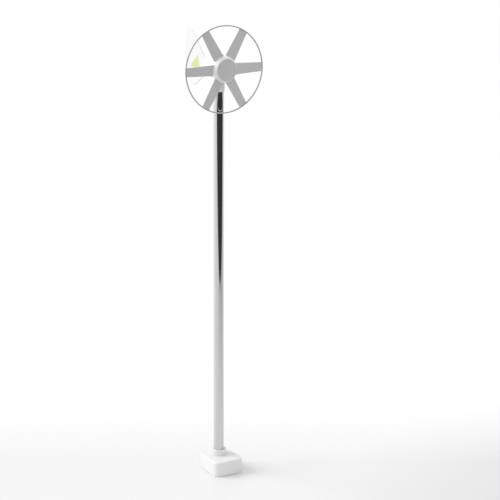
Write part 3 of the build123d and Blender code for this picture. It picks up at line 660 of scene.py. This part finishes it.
def add_hub():
    """The hub's shell: a cone that widens to a drum, with a step for the nose disc and a parting line."""
    cone_depth = 18.0
    shoulder = hub_front + cone_depth
    lip = nose_radius + 0.5
    cone_start = nose_radius + 2.2
    seat = nose_radius - 3.0
    groove = 0.5
    groove_front, groove_back = hub_back - 8.6, hub_back - 7.6
    section = rounded([
        (lip, hub_front), (cone_start, hub_front, 1.0), (hub_radius, shoulder, 10.0),
        (hub_radius, groove_front), (hub_radius - groove, groove_front + 0.3),
        (hub_radius - groove, groove_back - 0.3), (hub_radius, groove_back), (hub_radius, hub_back, 1.6),
        (hub_radius - shell_wall, hub_back), (hub_radius - shell_wall, shoulder + 6.0, 3.0),
        (seat, hub_front + 12.0), (seat, nose_back + 0.05), (lip, nose_back + 0.05)], 6)
    finish_piece("hub_drum", moved(turned(section, 160), along_shaft), "shell_white", "rotor", "hub_shell")


def add_nose_disc():
    """The nose disc: a shallow dish with a rolled edge, a fine bead and a blind centre boss."""
    edge, top = nose_radius, nose_front
    section = rounded([
        (0.0, top + 1.1), (7.0, top + 1.1), (8.0, top + 0.5, 0.6), (10.5, top + 0.5, 0.6),
        (11.5, top + 1.1, 0.6), (edge - 9.0, top + 0.7), (edge - 7.6, top + 0.1, 1.0), (edge - 1.0, top),
        (edge, top + 0.9, 0.8), (edge, nose_back), (0.0, nose_back)])
    disc = moved(turned(section, 160), along_shaft)
    finish_piece("nose_plate", disc, "rotor_grey", "rotor", "nose_disc", smooth_angle=40)


# === Head ===================================================================================
def nacelle_profile(inset):
    """The nacelle's outline: (radius, along the shaft), straight to a shoulder, then round to its tail."""
    radius = nacelle_radius - inset
    tail = nacelle_tail - inset
    shoulder = 60.0
    straight_steps, round_steps = 12, 26
    points = []
    for step in range(straight_steps):
        points.append((radius, nacelle_front + step * (shoulder - nacelle_front) / straight_steps))
    for step in range(round_steps + 1):
        bulge = sin(step / round_steps * pi / 2)
        points.append((radius * (1 - bulge ** 2.1) ** 0.78, shoulder + (tail - shoulder) * bulge))
    return points


def nacelle_vents(side):
    """Cutters for the row of cooling slots in one side."""
    first_slot, slot_pitch, slot_height = 8.0, 11.0, axis_mm - 4.0
    slots = []
    for row in range(6):
        middle = Vector((side * nacelle_radius, first_slot + slot_pitch * row, slot_height))
        slots.append(slot_mesh(middle, width=3.4, height=26.0, depth=12.0))
    return joined(slots)


def add_nacelle():
    """Two half shells with a seam between them, a rolled front edge and cooling slots."""
    outside = nacelle_profile(0.0)
    inside = nacelle_profile(shell_wall)
    front = [(nacelle_radius - shell_wall, nacelle_front + 0.6), (nacelle_radius - 2.0, nacelle_front),
             (nacelle_radius - 1.0, nacelle_front), (nacelle_radius - 0.25, nacelle_front + 0.5)]
    section = front + outside[1:] + inside[:0:-1]
    seam = 0.35
    clear_of_fin = fin_half + 0.25
    neck_cut = drum(neck_radius + 0.5, axis_mm - 105, axis_mm - 15, 64)
    fin_cut = box_mesh((-clear_of_fin, clear_of_fin), (44, 175), (axis_mm - 36, axis_mm + 60))
    for node, side in (("nacelle_left", -1), ("nacelle_right", 1)):
        half = moved(turned(section, 72, arc=pi, start=-side * pi / 2), along_shaft)
        half = moved(half, Matrix.Translation((side * seam / 2 * MM, 0, 0)))
        half = cut(cut(cut(half, neck_cut), fin_cut), nacelle_vents(side))
        finish_piece(f"{node}_shell", half, "shell_white", "head", node)


def add_neck():
    """The neck sleeve with three shallow grooves, its seal and its screws."""
    grooves = []
    for groove in range(3):
        level = neck_low + 14.0 + 5.0 * groove
        grooves += [(neck_radius, level), (neck_radius - 0.8, level + 0.8),
                    (neck_radius - 0.8, level + 1.6), (neck_radius, level + 2.4)]
    inner = neck_radius - 2.5
    section = rounded([(inner, neck_low), (neck_radius, neck_low, 1.2)] + grooves
                      + [(neck_radius, neck_high), (inner, neck_high)])
    finish_piece("neck_tube", turned(section), "shell_white", "head", "neck_sleeve")
    seal_low, seal_high = span("neck_seal", 2)
    lip = pole_radius + 0.4
    seal = rounded([(lip, seal_low, 0.3), (inner, seal_low), (inner, seal_high), (lip + 0.6, seal_high),
                    (lip + 0.6, seal_low + 2.2), (lip, seal_low + 1.2)], 3)
    finish_piece("neck_lip_seal", turned(seal), "rubber", "head", "neck_seal")
    screw_height = sum(span("neck_screws", 2)) / 2
    placements = around_pole((90, 210, 330), neck_radius, screw_height)
    heads = screw_heads(placements, radius=3.3, height=1.8, drive=1.6, depth=1.1)
    finish_piece("neck_screw_heads", heads, "fastener_steel", "head", "neck_screws")


def add_nacelle_screws():
    """The heads of the screws that hold the nacelle to the head casting's flange."""
    along = sum(span("nacelle_screws", 1)) / 2
    placements = around_shaft((30, 90, 150, 210, 330), nacelle_radius, along)
    heads = screw_heads(placements, radius=2.9, height=1.6, drive=1.4, depth=1.0)
    finish_piece("nacelle_screw_heads", heads, "fastener_steel", "head", "nacelle_screws")


def loop_length(points):
    """The length round a closed outline."""
    return sum((points[n] - points[n - 1]).length for n in range(len(points)))


def fin_boundary():
    """The fin's outline from its CAD solid, as (along Y, height) points in millimetres."""
    flat = bmesh.new()
    flat.from_mesh(frame["nodes"]["tail_fin"].data)
    bmesh.ops.remove_doubles(flat, verts=flat.verts, dist=1e-6)
    side = [face for face in flat.faces if face.normal.x > 0.999 and face.calc_center_median().x > 0]
    inside = set(side)
    edges = {}
    for face in side:
        for loop in face.loops:
            if not any(other in inside for other in loop.edge.link_faces if other is not face):
                edges[loop.vert.index] = (loop.link_loop_next.vert.index, loop.vert.co.copy())
    loops = []
    while edges:
        here, points = next(iter(edges)), []
        while here in edges:
            here, place = edges.pop(here)
            points.append(Vector((place.y / MM, place.z / MM)))
        loops.append(points)
    flat.free()
    return evenly(max(loops, key=loop_length), 3.0)


def evenly(points, spacing):
    """Points at about an even spacing along a closed outline, its sharp corners kept."""
    result = [points[0]]
    for n in range(1, len(points)):
        here, last = points[n], result[-1]
        gap = (here - last).length
        bend = (here - points[n - 1]).angle(points[(n + 1) % len(points)] - here, 0)
        if gap >= spacing or bend > radians(20):
            extra = int(gap // (2 * spacing))
            result += [last + (here - last) * step / (extra + 1) for step in range(1, extra + 1)]
            result.append(here)
    return result


def inward(points, distance):
    """A closed outline moved inwards, its corners mitred."""
    count = len(points)
    area = sum(points[n - 1].x * points[n].y - points[n].x * points[n - 1].y for n in range(count))
    sign = 1 if area > 0 else -1
    result = []
    for n in range(count):
        before = (points[n] - points[n - 1]).normalized()
        after = (points[(n + 1) % count] - points[n]).normalized()
        normal = Vector((-before.y - after.y, before.x + after.x)).normalized()
        stretch = max(0.5, normal.dot(Vector((-before.y, before.x))))
        result.append(points[n] + normal * (sign * distance / stretch))
    return result


def add_fin():
    """The tail fin: a moulded plate with a round edge and a shallow line inside its border."""
    outline = fin_boundary()
    edge_round, edge_depth = 1.3, 1.6
    steps = 5
    levels = []
    for step in range(steps + 1):
        angle = pi / 2 * step / steps
        levels.append((edge_round * (1 - cos(angle)), fin_half - edge_depth * (1 - sin(angle))))
    line = 0.45
    levels += [(9.0, fin_half), (9.5, fin_half - line), (10.5, fin_half - line), (11.0, fin_half)]
    both_sides = [(distance, -height) for distance, height in reversed(levels)] + levels
    loops = [[(height, place.x, place.y) for place in inward(outline, distance)]
             for distance, height in both_sides]
    finish_piece("tail_fin_plate", lofted(loops), "fin_white", "head", "tail_fin", smooth_angle=30)


def add_decals():
    """The plain lime marks on both sides of the fin: a soft-cornered triangle, with no lettering."""
    thickness = span("fin_decals", 0)[1] - fin_half
    corners = rounded([(216, -30, 4), (238, 49, 7), (327, -25, 7), (332, -30, 4)], 6)
    outline = [Vector(corner) for corner in corners]
    levels = ((0.0, 0.0), (0.0, 0.6 * thickness), (0.25, thickness))
    for side, name, replaced in ((-1, "left", ["fin_decals"]), (1, "right", [])):
        loops = [[(side * (fin_half + height), place.x, axis_mm + place.y)
                  for place in inward(outline, inset)] for inset, height in levels]
        finish_piece(f"fin_mark_{name}", lofted(loops), "decal_lime", "head", *replaced)


# === Pole and foot ==========================================================================
def add_pole():
    """The polished tube, with small rounds at its ends."""
    inner = pole_radius - 2.0
    section = rounded([(inner, pole_low), (pole_radius, pole_low, 0.5), (pole_radius, pole_high, 0.5),
                       (inner, pole_high)], 3)
    finish_piece("pole_tube", turned(section, 192), "pole_chrome", "mast", "pole")


def rounded_rectangle(half_width, front, back, radius, steps=10):
    """A closed outline round the base, from its limits in plan."""
    corners = ((half_width - radius, back - radius, 0.0), (-half_width + radius, back - radius, pi / 2),
               (-half_width + radius, front + radius, pi), (half_width - radius, front + radius, 1.5 * pi))
    outline = []
    for x, y, start in corners:
        for step in range(steps + 1):
            angle = start + pi / 2 * step / steps
            outline.append((x + radius * cos(angle), y + radius * sin(angle)))
    return outline


def add_base_cover():
    """The foot's moulded cover: rounded all round, with a groove near the floor and a collar hole."""
    wall, corner, top_round = 4.0, 32.0, 9.0
    top_edge_inset = 22.0
    hole = collar_radius - collar_skirt
    skirt = cover_low - 1.8
    straight = cover_high - top_round
    groove_top = skirt + 10.6
    levels = [(wall, skirt), (0.8, skirt), (0.0, skirt + 0.8), (0.0, skirt + 9.0),
              (0.5, skirt + 9.4), (0.5, skirt + 10.2), (0.0, groove_top)]
    levels += [(0.0, groove_top + (straight - groove_top) * step / 6) for step in range(1, 7)]
    for step in range(1, 9):
        angle = pi / 2 * step / 8
        levels.append((top_round * (1 - cos(angle)), straight + top_round * sin(angle)))
    levels.append((top_edge_inset, cover_high))
    loops = []
    for inset, height in levels:
        loop = rounded_rectangle(cover_half_width - inset, cover_front + inset, cover_back - inset,
                                 max(corner - inset, 3.0))
        loops.append([(x, y, height) for x, y in loop])
    rim = loops[-1]
    for radius, height in ((hole + 0.8, cover_high), (hole, cover_high - 0.8), (hole, cover_high - wall)):
        loops.append([(radius * x / hypot(x, y), radius * y / hypot(x, y), height) for x, y, _ in rim])
    ceiling = rounded_rectangle(cover_half_width - wall, cover_front + wall, cover_back - wall,
                                corner - wall)
    loops.append([(x, y, cover_high - wall) for x, y in ceiling])
    finish_piece("base_cover_shell", lofted(loops, closed=True), "cover_white", "mast", "base_cover",
                 smooth_angle=32)


def add_foot_collar():
    """The clamp collar at the pole's foot, with a stepped skirt and its three grub screws."""
    bore = pole_radius + 0.15
    skirt = collar_radius - collar_skirt
    section = rounded([
        (skirt, collar_low), (collar_radius - 0.8, collar_low), (collar_radius - 0.8, collar_low + 1.2),
        (collar_radius, collar_low + 2.0), (collar_radius, collar_high, 2.0),
        (bore + 1.0, collar_high, 0.8), (bore, collar_high - 1.2), (bore, collar_high - 9.0),
        (skirt, collar_high - 9.0)], 6)
    screw_height = sum(span("pole_clamp_screws", 2)) / 2
    placements = around_pole((30, 150, 270), collar_radius - 5.0, screw_height)
    wells = joined([moved(drum(3.3, 0, 9, 24), place) for place in placements])
    finish_piece("foot_collar_ring", cut(turned(section), wells), "cover_white", "mast", "foot_collar")
    heads = screw_heads(placements, radius=3.0, height=3.0, drive=1.5, depth=2.0)
    finish_piece("clamp_screw_heads", heads, "fastener_steel", "mast", "pole_clamp_screws")


def gland_nut(face, bore, end):
    """The gland's clamping nut, ribbed for grip, along Z from its hexagon to its end."""
    ribs, columns_per_rib, rib_depth = 28, 4, 0.35
    profile = [(bore, face + 6), (9.4, face + 6), (9.4, face + 12.5), (8.8, face + 15), (7.2, face + 17),
               (5.4, end), (bore, end)]
    columns = []
    for column in range(ribs * columns_per_rib):
        angle = 2 * pi * column / (ribs * columns_per_rib)
        dip = rib_depth if column % columns_per_rib < 2 else 0.0
        edge = [(radius - dip if radius > 6.0 else radius, height) for radius, height in profile]
        columns.append([(radius * cos(angle), radius * sin(angle), height) for radius, height in edge])
    return lofted(columns, closed=True)


def add_gland():
    """The cable gland on the foot's back: a hexagon and a ribbed clamping nut."""
    face = cover_back
    end = span("cable_gland", 1)[1]
    height = sum(span("cable_gland", 2)) / 2
    bore, stem = 4.5, 8.0
    corner = 11.0 / cos(pi / 6)
    section = rounded([(bore, face - 9), (stem, face - 9), (stem, face), (corner, face, 0.6),
                       (corner, face + 6, 1.2), (bore, face + 6)], 3)
    place = Matrix.Translation((0, 0, height * MM)) @ Matrix.Rotation(radians(-90), 4, "X")
    gland = moved(joined([turned(section, 6), gland_nut(face, bore, end)]), place)
    finish_piece("cable_gland_body", gland, "black_plastic", "mast", "cable_gland")


def add_pieces():
    """Every piece that takes the place of a CAD node."""
    add_blades()
    add_rim_ring()
    add_hub()
    add_nose_disc()
    add_nacelle()
    add_nacelle_screws()
    add_neck()
    add_fin()
    add_decals()
    add_pole()
    add_base_cover()
    add_foot_collar()
    add_gland()


finish_cad_nodes()
add_pieces()
add_camera()
add_floor()
add_world()
add_key_light()
bpy.context.scene.view_settings.view_transform = "Standard"
